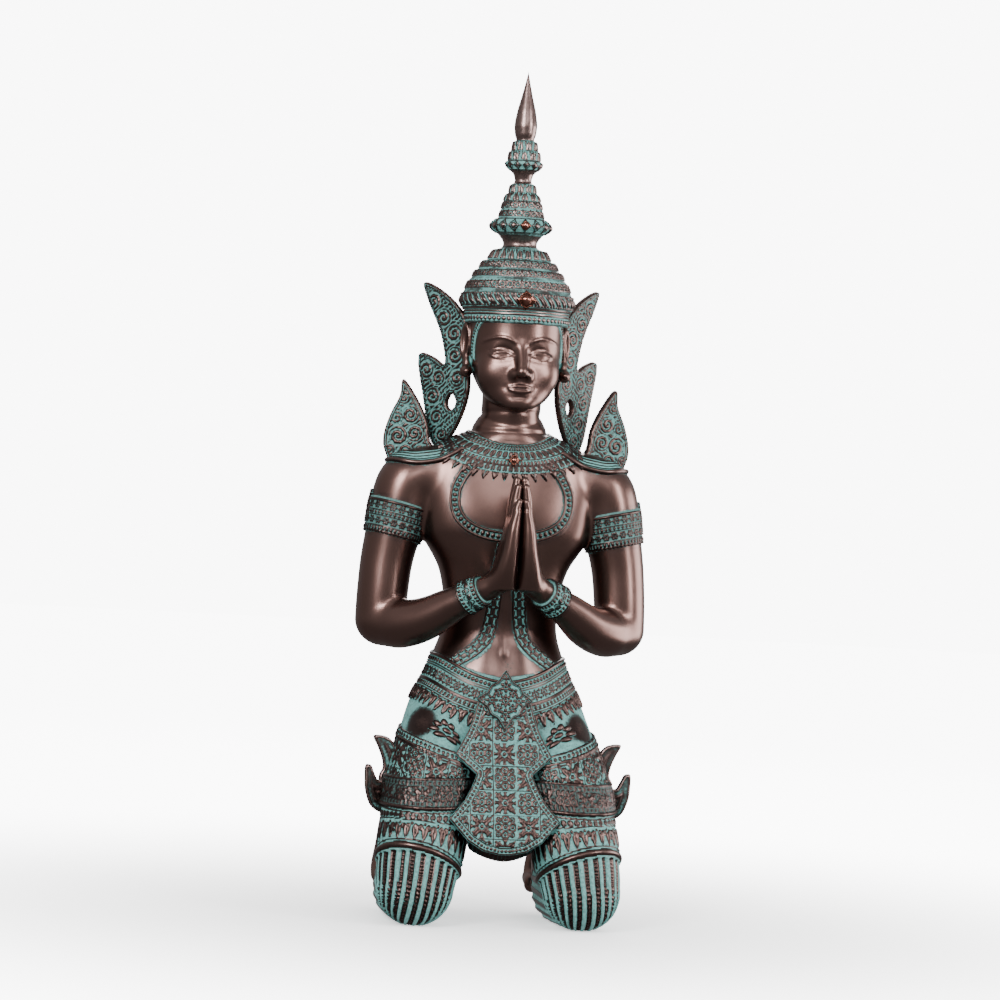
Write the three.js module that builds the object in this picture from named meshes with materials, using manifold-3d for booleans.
// A kneeling theppanom, the praying attendant of a Thai temple, cast in one piece.
// Millimetres, +Z up. The figure faces -Y, is alike on both sides of X = 0, and kneels on Z = 0.
import * as THREE from "three";
import { mergeVertices } from "three/addons/utils/BufferGeometryUtils.js";
import Module from "manifold-3d";

const wasm = await Module();
wasm.setup();

// Driving dimensions
const HEIGHT = 858;
const CROWN_Y = -8;
const SLIVER = 0.5;
const CLOTH = 3.5;
const ARMBAND = 3;
const BRACELET = 4;
const HEM = 2.5;
const ROLL = 3;
const COLLAR_TEETH = 14;
const COLLAR_WIDTH = 65;
const COLLAR_TOOTH = 6;
const KNEE_RIBS = 10;
const RIB_DEPTH = 2.2;
const STRAP = { breadth: 6, thick: 3.5 };
const WAIST = { breadth: 7, thick: 2.5 };
const EAR_PLATE = { at: [50, -4], turn: 43, thick: 6 };
const SHOULDER_PLATE = { at: [81, 0], turn: 22, thick: 8 };
const STAR = { z: 225, y: -50, tall: 27, wide: 26, thick: 12, lean: 0.28 };
const PANEL_THICK = 14;

// Columns of the body. A row is [z, half width, half depth, y of the centre, squareness].
const TORSO = [
  [493, 31, 30, 1, 2], [489, 44, 33, 2, 2], [482, 61, 36, 3, 2.1], [473, 77, 38, 3, 2.3], [460, 90, 41, 2, 2.5],
  [440, 91, 44, 0, 2.5], [415, 89, 47, -2, 2.4], [395, 86, 47, -3, 2.4], [382, 82, 45, -3, 2.3],
  [357, 67, 41, -2, 2.2], [335, 60.5, 38, -1, 2.2], [315, 58, 36.5, 0, 2.2], [298, 58, 36.5, 2, 2.2],
  [284, 60.5, 39, 3, 2.2], [268, 66, 45, 4, 2.2], [249, 72.5, 51, 3, 2.2], [230, 78, 58, 5, 2.2],
  [211, 85, 65, 9, 2.2], [190, 90, 70, 15, 2.3], [170, 92, 70, 22, 2.4], [150, 92, 66, 30, 2.4],
  [130, 88, 57, 39, 2.4], [114, 78, 45, 47, 2.3], [104, 58, 28, 52, 2.1],
];
const HEAD = [
  [515, 7, 6, -49, 2], [518, 17, 14, -44, 2], [523, 26, 23, -36, 2], [530, 33, 32, -27, 2.1],
  [539, 37.5, 40, -19, 2.1], [550, 42, 46, -13, 2.1], [562, 45.5, 50, -9, 2.1], [577, 47.5, 51, -7, 2.1],
  [596, 48, 51, -6, 2.1], [612, 48, 51, -6, 2.1], [622, 46, 49, -6, 2],
];

// Limbs, for the side of +X. A row is [x, y, z, radius across, radius along].
const NECK = [
  [0, 3, 466, 42, 38], [0, 2, 485, 39, 35], [0, 0, 496, 32.5, 32], [0, -2, 506, 30, 30.5], [0, -8, 535, 30, 30],
];
const UPPER_ARM = [
  [84, 3, 446, 29, 30], [101, 2, 436, 30.5, 31], [108.5, 1, 412, 29.5, 30], [113, 0, 388, 28, 28.5],
  [118.5, -1, 358, 26.5, 27], [121.5, -3, 325, 25.8, 26.5], [122.5, -4, 299, 25.5, 26],
];
const FOREARM = [
  [117, -8, 296, 22, 23], [104, -22, 295, 24, 25], [82, -41, 302, 21.5, 22.5], [58, -60, 318, 17, 17.5],
  [38, -75, 330, 13.5, 14], [23, -85, 339, 12, 13],
];
const WRIST = [[38, -75, 331, 13, 13.5], [24, -84, 338, 12, 13.5], [12, -89, 348, 11, 14]];
const THIGH = [
  [45, 2, 206, 42, 44], [58, -18, 171, 43.5, 44], [68.5, -41, 132, 44.5, 43.5], [75.5, -60, 92, 42.5, 41],
  [81.5, -73, 56, 41, 39.5], [84, -78, 37.5, 39, 38],
];
const SHIN = [
  [84, -62, 32, 33, 33], [84, -40, 29, 33, 31], [83, 0, 26, 31, 29.5], [82, 30, 25.5, 29, 29],
  [81.5, 52, 33, 26, 27], [80, 78, 58, 22, 23], [79, 96, 84, 19, 20],
];
const FOOT = [
  [78, 106, 104, 17, 14], [79, 112, 86, 19, 14], [80, 112, 62, 21, 13], [80, 105, 42, 25, 13], [80, 95, 32, 26, 11],
];
// A toe is [x, y of its tip, z, radius].
const TOES = [[61, 78, 28, 8], [72, 74, 27, 7], [81, 75, 26.5, 6.5], [90, 78, 26, 6], [98, 82, 25.5, 5.5]];
// A palm row is [z, thickness from the other hand, y of the centre, half breadth].
const PALM = [
  [336, 24, -87, 17], [346, 25, -89, 20], [358, 23, -91, 22], [374, 19, -93, 22.5], [392, 16, -95, 21],
  [404, 13, -96, 19],
];
// A finger is [y, z of the root, z of the tip, radius].
const FINGERS = [[-81, 396, 441, 5.4], [-90, 398, 450, 5.6], [-99.5, 397, 443, 5.4], [-108.5, 392, 428, 4.8]];
const THUMB = [[9, -74, 352, 7, 7], [7, -72, 372, 6.5, 6.5], [5.5, -73, 392, 5.5, 5.5], [5, -75, 408, 4, 4]];

// Face and ears, as limbs
const NOSE = [[0, -56, 582, 3.5, 3], [0, -61, 566, 5, 4.5], [0, -65, 552, 7.5, 5.5]];
const LIPS = [[-12, -56, 538, 2, 2], [0, -60.5, 536, 3.5, 3.5], [12, -56, 538, 2, 2]];
const BROW = [[5, -58, 579, 1.5, 1.5], [17, -56, 588, 2, 2], [33, -45, 583, 1.5, 1.5]];
const EYE = [[12, -54.5, 571, 2.5, 3], [20, -53.5, 572.5, 4, 4.5], [30, -47, 573, 2, 3]];
const EAR = [[49, -8, 602, 4, 7], [51, -6, 580, 4.5, 9], [50, -10, 556, 4, 6]];
const STUD = [[47, -19, 552, 7, 7], [50, -22, 552, 6, 6]];

// The crown's profile of [radius, z]: head band, four steps, a waisted neck, two tiers with rims, and the finial.
const CROWN = [
  [44, 600], [53, 602], [53, 614], [57, 617], [59, 624], [54, 636], [50, 645], [47, 648], [44.5, 654.5],
  [41, 657], [37.5, 665], [32.5, 666.5], [27, 676], [17, 680], [22.5, 692], [32, 700],
  [23.5, 709], [20.5, 722], [14, 735], [8.5, 747], [11, 755], [19.5, 764],
  [13, 770], [12.2, 787], [8.6, 788], [11.7, 802], [9.3, 819], [5.7, 832], [2.5, 848],
];
const CROWN_FACETS = 13;

// Flames. A flat one is an outline of [outwards, z] from the foot of its plate, a thigh flame is a limb.
const EAR_OUTLINE = [
  [-2, 600], [14, 622], [37, 637], [54, 641], [46, 620], [30, 590], [23, 560], [37, 566], [53, 570], [56, 559],
  [48, 525], [38, 485], [25, 473], [8, 490], [-5, 518], [-8, 545],
];
const EAR_HOLE = [[13, 529], [7, 521], [12, 513], [18, 519]];
const SHOULDER_OUTLINE = [
  [-12, 464], [-1, 480], [3, 500], [14, 522], [30, 542], [33, 525], [42, 506], [48, 485], [46, 468], [34, 456],
];
const SHOULDER_RIM = [
  [55, -14, 470, 7, 5], [76, -22, 465, 8, 5], [98, -22, 460, 7, 5], [116, -6, 465, 6, 5], [123, 8, 474, 4, 4],
];
const UPPER_FLAME = [
  [96, -28, 122, 14, 5], [103, -28, 142, 13, 4.5], [107, -28, 156, 11, 4], [112, -28, 168, 8, 3.5],
  [123, -28, 178, 2, 1.5],
];
const LOWER_FLAME = [
  [102, -32, 112, 10, 4.5], [118, -34, 120, 12, 4], [129, -38, 136, 8, 3.5], [135, -42, 154, 2, 1.5],
];

// Straps on the torso, as [x, z] of their middle line, and the panel, as [z, half breadth, y].
const CHEST_LOOP = [[-38, 464], [-52, 450], [-61.5, 425], [-54, 404], [-34, 393], [0, 388.5]];
const WAIST_STRAP = [[5, 384], [10, 350], [12, 325], [14, 305], [20, 286], [34, 270], [50, 263]];
const PANEL = [
  [240, 10, -54], [229, 25, -57], [193, 36.5, -66], [170, 49, -73], [152, 28, -82], [127, 40, -93], [108, 56, -100],
  [87, 37, -105], [78, 22, -106], [74.5, 8, -106],
];
const LAP_CLOTH = [[-28, -84, 82, 8, 8], [0, -93, 76, 9, 9], [28, -84, 82, 8, 8]];

const SIDEWAYS = new THREE.Vector3(1, 0, 0);
const FORWARDS = new THREE.Vector3(0, 1, 0);
const UPWARDS = new THREE.Vector3(0, 0, 1);

const range = (n) => [...Array(n).keys()];
const turn = (k, n) => (2 * Math.PI * k) / n;
const at = (place, angle) => (typeof place === "function" ? place(angle) : place);

// The value of every column of a table at place s, which counts rows: a Catmull-Rom curve through the rows.
function between(rows, s) {
  const i = Math.max(0, Math.min(rows.length - 2, Math.floor(s)));
  const t = s - i;
  const row = (k) => rows[Math.max(0, Math.min(rows.length - 1, k))];
  return rows[0].map((_, c) => {
    const [a, b, d, e] = [-1, 0, 1, 2].map((k) => row(i + k)[c]);
    return b + 0.5 * t * (d - a + t * (2 * a - 5 * b + 4 * d - e + t * (3 * (b - d) + e - a)));
  });
}

// The place in a table whose first column, which rises or falls all the way, has the value wanted.
function placeOf(rows, wanted) {
  const rising = rows[rows.length - 1][0] > rows[0][0];
  let [low, high] = [0, rows.length - 1];
  range(30).forEach(() => {
    const middle = (low + high) / 2;
    if (between(rows, middle)[0] < wanted === rising) low = middle;
    else high = middle;
  });
  return (low + high) / 2;
}

// A solid from points and triangles, turned outwards if its volume comes out negative.
function solidOf(points, faces) {
  const volume = faces.reduce((sum, [a, b, c]) => sum + points[a].dot(points[b].clone().cross(points[c])), 0);
  const turned = volume < 0 ? faces.map(([a, b, c]) => [a, c, b]) : faces;
  const vertProperties = new Float32Array(points.flatMap((p) => p.toArray()));
  return new wasm.Manifold(new wasm.Mesh({ numProp: 3, vertProperties, triVerts: new Uint32Array(turned.flat()) }));
}

// A three.js geometry as a solid, its shared vertices merged.
function fromGeometry(geometry) {
  const bare = geometry.index ? geometry.toNonIndexed() : geometry.clone();
  ["normal", "uv"].forEach((name) => bare.deleteAttribute(name));
  const merged = mergeVertices(bare, 1e-3);
  const { position } = merged.attributes;
  const points = range(position.count).map((k) => new THREE.Vector3().fromBufferAttribute(position, k));
  const index = [...merged.index.array];
  return solidOf(points, range(index.length / 3).map((k) => index.slice(3 * k, 3 * k + 3)));
}

// A solid and its mirror image in X = 0.
function both(solid) {
  const { vertProperties: v, triVerts: t } = solid.getMesh();
  const points = range(v.length / 3).map((k) => new THREE.Vector3(-v[3 * k], v[3 * k + 1], v[3 * k + 2]));
  return [solid, solidOf(points, range(t.length / 3).map((k) => [...t.slice(3 * k, 3 * k + 3)]))];
}

const union = (solids) => solids.reduce((sum, solid) => sum.add(solid));

// Quads between neighbouring rings, split in two. The last ring is joined to the first if looped.
function skin(rings, looped) {
  const n = rings[0].length;
  return range(looped ? rings.length : rings.length - 1).flatMap((k) =>
    range(n).flatMap((j) => {
      const [a, b] = [k * n + j, k * n + ((j + 1) % n)];
      const [c, d] = [a, b].map((m) => (m + n) % (n * rings.length));
      return [[a, b, d], [a, d, c]];
    }),
  );
}

// A closed loft through rings of points, with a fan over each end.
function loft(rings) {
  const n = rings[0].length;
  const points = rings.flat();
  const faces = skin(rings, false);
  const last = points.length - n;
  [0, last].forEach((first) => {
    const middle = points.length;
    const ring = points.slice(first, first + n);
    points.push(ring.reduce((sum, p) => sum.add(p), new THREE.Vector3()).divideScalar(n));
    range(n).forEach((j) => {
      const [a, b] = [first + j, first + ((j + 1) % n)];
      faces.push(first ? [a, b, middle] : [b, a, middle]);
    });
  });
  return solidOf(points, faces);
}

// A point of a column: a superellipse at height z, grown outwards by proud.
function columnPoint(rows, angle, z, proud) {
  const [, width, depth, y, square] = between(rows, placeOf(rows, z));
  const wave = (v) => Math.sign(v) * Math.abs(v) ** (2 / square);
  return new THREE.Vector3((width + proud) * wave(Math.cos(angle)), y + (depth + proud) * wave(Math.sin(angle)), z);
}

// A column through rings of [z, proud]. The z of a ring may wander with the angle.
function column(rows, facets, rings) {
  const angles = range(facets).map((j) => turn(j, facets));
  return loft(rings.map(([z, proud]) => angles.map((angle) => columnPoint(rows, angle, at(z, angle), proud))));
}

// The frame of a limb at place s: its centre, the way it runs, and two directions across it.
function limbFrame(rows, s, across) {
  const [x, y, z, wide, deep] = between(rows, s);
  const step = 0.02;
  const ahead = new THREE.Vector3(...between(rows, Math.min(rows.length - 1, s + step)));
  const behind = new THREE.Vector3(...between(rows, Math.max(0, s - step)));
  const along = ahead.sub(behind).normalize();
  const side = across.clone().addScaledVector(along, -across.dot(along)).normalize();
  return { centre: new THREE.Vector3(x, y, z), along, side, front: along.clone().cross(side), wide, deep };
}

// A point on a limb at place s. Past either end it runs over a half sphere, by the angle over.
function limbPoint(rows, s, angle, { across, proud, over, ribs }) {
  const f = limbFrame(rows, s, across);
  const rib = ribs ? RIB_DEPTH * Math.cos(ribs * angle) : 0;
  const [wide, deep] = [f.wide, f.deep].map((r) => (r + proud + rib) * Math.cos(over));
  return f.centre
    .addScaledVector(f.side, wide * Math.cos(angle))
    .addScaledVector(f.front, deep * Math.sin(angle))
    .addScaledVector(f.along, (f.wide + proud) * Math.sin(over));
}

// A limb through rings of [place, proud]. A place may wander with the angle. Round ends are part of a sphere.
function limb(rows, facets, rings, { across = SIDEWAYS, round = [false, false], ribs = 0, ribbed = [] } = {}) {
  const dome = facets < 8 ? [0.9] : [0.6, 1.2];
  const [first, last] = [rings[0], rings[rings.length - 1]];
  const all = [
    ...(round[0] ? dome.toReversed().map((over) => [first, -over]) : []),
    ...rings.map((ring) => [ring, 0]),
    ...(round[1] ? dome.map((over) => [last, over]) : []),
  ];
  return loft(
    all.map(([ring, over]) =>
      range(facets).map((j) => {
        const [angle, [place, proud]] = [turn(j, facets), ring];
        const options = { across, proud, over, ribs: ribbed.includes(ring) ? ribs : 0 };
        return limbPoint(rows, at(place, angle), angle, options);
      }),
    ),
  );
}

// Rings at even spacing along a table of rows.
const evenly = (rows, steps) => range(steps + 1).map((k) => [((rows.length - 1) * k) / steps, 0]);

// The four rings of a raised band between two edges: up its side, along it and down again.
const raised = (from, to, proud) => [[from, 0], [from, proud], [to, proud], [to, 0]];

const roundLimb = (rows, facets, steps, across = SIDEWAYS) =>
  limb(rows, facets, evenly(rows, steps), { across, round: [true, true] });

// A strap along a line of [x, z] points on the front of the torso, with its edges sunk in the body.
function strap(line, { breadth, thick }, steps) {
  const curve = new THREE.CatmullRomCurve3(line.map(([x, z]) => new THREE.Vector3(x, 0, z)));
  const sunk = -5;
  const onChest = (x, z, grow) => {
    const [, width, depth, y, square] = between(TORSO, placeOf(TORSO, z));
    const share = Math.min(1, Math.abs(x) / width) ** square;
    return new THREE.Vector3(x, y - depth * (1 - share) ** (1 / square) - grow, z);
  };
  return loft(
    range(steps + 1).map((k) => {
      const p = curve.getPoint(k / steps);
      const t = curve.getTangent(k / steps);
      return [[-1, sunk], [-0.8, thick], [0.8, thick], [1, sunk]].map(([side, grow]) =>
        onChest(p.x - side * t.z * breadth, p.z + side * t.x * breadth, grow),
      );
    }),
  );
}

// A closed smooth outline through its points, with steps pieces between neighbours.
function smooth(outline, steps) {
  const knots = outline.map(([x, z]) => new THREE.Vector3(x, z, 0));
  const curve = new THREE.CatmullRomCurve3(knots, true, "centripetal");
  return curve.getPoints(outline.length * steps).slice(0, -1).map((p) => new THREE.Vector2(p.x, p.y));
}

// A plate of an outline, stood at a point of the plan and turned back from the front by so many degrees.
function plate(outline, hole, { at: [x, y], turn: back, thick }) {
  const shape = new THREE.Shape(smooth(outline, 2));
  shape.holes = hole.map((points) => new THREE.Path(smooth(points, 1)));
  const geometry = new THREE.ExtrudeGeometry(shape, { depth: thick, bevelEnabled: false });
  geometry.translate(0, 0, -thick / 2).rotateX(Math.PI / 2).rotateZ(THREE.MathUtils.degToRad(back));
  return fromGeometry(geometry.translate(x, y, 0));
}

// The torso down to the seat. Its belt dips at the front.
function torso() {
  const front = (angle) => Math.max(0, -Math.sin(angle)) ** 3;
  const belt = raised((a) => 278 - 30 * front(a), (a) => 252 - 34 * front(a), CLOTH);
  const above = [493, 484, 470, 448, 418, 385, 357, 330, 302].map((z) => [z, 0]);
  const underBelt = [(a) => 225 - 25 * front(a), (a) => 203 - 15 * front(a)];
  const seat = [...underBelt, 172, 145, 122, 104].map((z) => [z, 0]);
  return column(TORSO, 16, [...above, ...belt, ...seat]);
}

function head() {
  const skull = column(HEAD, 12, evenly(HEAD, 7).map(([s]) => [between(HEAD, s)[0], 0]));
  const sides = [roundLimb(BROW, 4, 2, FORWARDS), roundLimb(EYE, 5, 2, FORWARDS), roundLimb(EAR, 6, 2)];
  const stud = roundLimb(STUD, 6, 1, UPWARDS);
  const neck = limb(NECK, 10, evenly(NECK, 4));
  return [skull, neck, roundLimb(NOSE, 6, 2), roundLimb(LIPS, 5, 2, UPWARDS), ...[...sides, stud].flatMap(both)];
}

function crown() {
  const profile = [[0, CROWN[0][1]], ...CROWN, [0, HEIGHT]].map(([r, z]) => new THREE.Vector2(r, z));
  const lathe = new THREE.LatheGeometry(profile, CROWN_FACETS);
  return fromGeometry(lathe.rotateX(Math.PI / 2).translate(0, CROWN_Y, 0));
}

// Flames stand behind the ears, on the shoulders and on the outside of the thighs.
function flames() {
  const ear = plate(EAR_OUTLINE, [EAR_HOLE], EAR_PLATE);
  const shoulder = plate(SHOULDER_OUTLINE, [], SHOULDER_PLATE);
  const rim = roundLimb(SHOULDER_RIM, 6, 5, FORWARDS);
  const upper = limb(UPPER_FLAME, 4, evenly(UPPER_FLAME, 5), { round: [true, false] });
  const lower = limb(LOWER_FLAME, 4, evenly(LOWER_FLAME, 4), { round: [true, false] });
  return [ear, shoulder, rim, upper, lower].flatMap(both);
}

// The collar: a hoop over the shoulders whose outer edge is cut into teeth.
function collar() {
  const [neckTop, buried] = [484, 460];
  const outer = (angle, reach, grow) => {
    const z = 447 - reach + (24 + reach * 0.6) * Math.cos(angle) ** 2;
    const p = columnPoint(TORSO, angle, z, grow);
    p.x = Math.sign(p.x) * Math.min(Math.abs(p.x), COLLAR_WIDTH + reach);
    p.z += grow;
    return p;
  };
  const sections = range(2 * COLLAR_TEETH).map((k) => {
    const angle = turn(k, 2 * COLLAR_TEETH);
    const reach = COLLAR_TOOTH * (k % 2);
    const top = new THREE.Vector3(29 * Math.cos(angle), 3 + 28 * Math.sin(angle), neckTop);
    const [edge, sunk] = [outer(angle, reach, CLOTH), outer(angle, reach, -9)];
    const middle = top.clone().lerp(edge, 0.5).add(new THREE.Vector3(0, 0, 3));
    return [top.clone().setZ(buried), top, middle, edge, sunk];
  });
  return solidOf(sections.flat(), skin(sections, true));
}

function straps() {
  const mirrored = CHEST_LOOP.slice(0, -1).reverse().map(([x, z]) => [-x, z]);
  return [strap([...CHEST_LOOP, ...mirrored], STRAP, 14), ...both(strap(WAIST_STRAP, WAIST, 6))];
}

function arms() {
  const armband = raised((a) => 2 - 0.1 * Math.cos(a), (a) => 3.15 - 0.05 * Math.cos(a), ARMBAND);
  const upperRings = [[0, 0], [1, 0], ...armband, [4, 0], [5, 0], [6, 0]];
  const upper = limb(UPPER_ARM, 11, upperRings, { round: [true, true] });
  const lowerRings = [[0, 0], [1, 0], [2, 0], [2.8, 0], ...raised(3.5, 4.5, BRACELET), [5, 0]];
  const lower = limb(FOREARM, 9, lowerRings, { across: UPWARDS });
  return [upper, lower].flatMap(both);
}

// A hand is a palm that thins upwards, four fingers, a thumb and the wrist, laid flat against the other hand.
function hands() {
  const wave = (v) => Math.sign(v) * Math.abs(v) ** 0.75;
  const overlap = 0.2;
  const palm = loft(
    PALM.map(([z, thick, y, breadth]) =>
      range(8).map((j) => {
        const [out, along] = [Math.cos(turn(j, 8)), Math.sin(turn(j, 8))].map(wave);
        return new THREE.Vector3((thick / 2) * (1 + out) - overlap, y + breadth * along, z);
      }),
    ),
  );
  const fingers = FINGERS.map(([y, root, tip, r]) => {
    const middle = (root + tip) / 2;
    const rows = [[7, y, root - 8, r, r], [6, y - 0.5, middle, r, r], [r * 0.75, y - 1, tip - r, r * 0.75, r * 0.8]];
    return limb(rows, 5, evenly(rows, 1), { round: [false, true] });
  });
  const thumb = limb(THUMB, 5, evenly(THUMB, 2), { round: [false, true] });
  const wrist = limb(WRIST, 8, evenly(WRIST, 2), { across: UPWARDS, round: [false, true] });
  return [palm, ...fingers, thumb, wrist].flatMap(both);
}

// The front panel hangs over the lap in two tiers, under a star buckle and over the hem of the lap cloth.
function panel() {
  const sheet = loft(
    PANEL.map(([z, breadth, y]) => {
      const wrap = breadth > 45 ? 5 : 2;
      return [[-1, wrap], [-0.5, 0], [0.5, 0], [1, wrap], [1, PANEL_THICK], [-1, PANEL_THICK]].map(
        ([side, inward]) => new THREE.Vector3(side * breadth, y + inward, z),
      );
    }),
  );
  const outline = range(8).map((k) => {
    const share = k % 2 ? 0.5 : 1;
    const angle = turn(k, 8);
    return new THREE.Vector2(STAR.wide * share * Math.sin(angle), STAR.tall * share * Math.cos(angle));
  });
  const star = new THREE.ExtrudeGeometry(new THREE.Shape(outline), { depth: STAR.thick, bevelEnabled: false });
  star.rotateX(Math.PI / 2 - STAR.lean).translate(0, STAR.y, STAR.z);
  return [sheet, roundLimb(LAP_CLOTH, 6, 4, UPWARDS), fromGeometry(star)];
}

// A thigh has the hem of the hip cloth, the flame band and the roll. Below the roll its breeches are ribbed.
function thigh() {
  const around = (middle, outer, ahead) => (a) => middle - outer * Math.cos(a) + ahead * Math.sin(a);
  const hem = raised(around(0.45, 0.2, 0.35), around(0.8, 0.4, 0.65), HEM);
  const flameBand = raised(around(1.55, 0, 0.5), around(2.35, 0, 0.5), CLOTH);
  const roll = raised(around(3.4, 0.28, 0.2), around(3.68, 0.28, 0.2), ROLL);
  const breeches = [[4.4, 0], [5, 0]];
  const rings = [[0, 0], ...hem, ...flameBand, ...roll, ...breeches];
  return limb(THIGH, 2 * KNEE_RIBS, rings, { round: [true, true], ribs: KNEE_RIBS, ribbed: [roll[3], ...breeches] });
}

function lowerLeg() {
  const shin = limb(SHIN, 9, evenly(SHIN, 5), { round: [false, true] });
  const foot = limb(FOOT, 8, evenly(FOOT, 4), { round: [true, true] });
  const toes = TOES.map(([x, tip, z, r]) => {
    const rows = [[x, 100, z + 6, r, r], [x, 88, z + 3, r, r], [x, tip + r, z, r, r]];
    return limb(rows, 4, evenly(rows, 1), { round: [false, true] });
  });
  return [shin, foot, ...toes];
}

// The whole figure, cut off level with the ground, without the slivers where its forms meet.
function figure() {
  const body = [torso(), ...head(), ...arms(), ...hands(), ...[thigh(), ...lowerLeg()].flatMap(both)];
  const dress = [crown(), ...flames(), collar(), ...straps(), ...panel()];
  const solid = union([...body, ...dress]);
  const ground = new THREE.BoxGeometry(HEIGHT, HEIGHT, HEIGHT).translate(0, 0, -HEIGHT / 2);
  return solid.subtract(fromGeometry(ground)).simplify(SLIVER);
}

const { vertProperties, triVerts } = figure().getMesh();
const geometry = new THREE.BufferGeometry();
geometry.setAttribute("position", new THREE.BufferAttribute(vertProperties, 3));
geometry.setIndex(new THREE.BufferAttribute(triVerts, 1));

// The origin is on the ground, under the middle of the figure's depth.
geometry.computeBoundingBox();
geometry.translate(0, -(geometry.boundingBox.min.y + geometry.boundingBox.max.y) / 2, 0);

const bronze = new THREE.MeshStandardMaterial({ color: 0x5a3a30, roughness: 0.35, metalness: 0.9 });
const mesh = new THREE.Mesh(geometry, bronze);
mesh.name = "theppanom";

const theppanom = new THREE.Group();
theppanom.add(mesh);
export default theppanom;
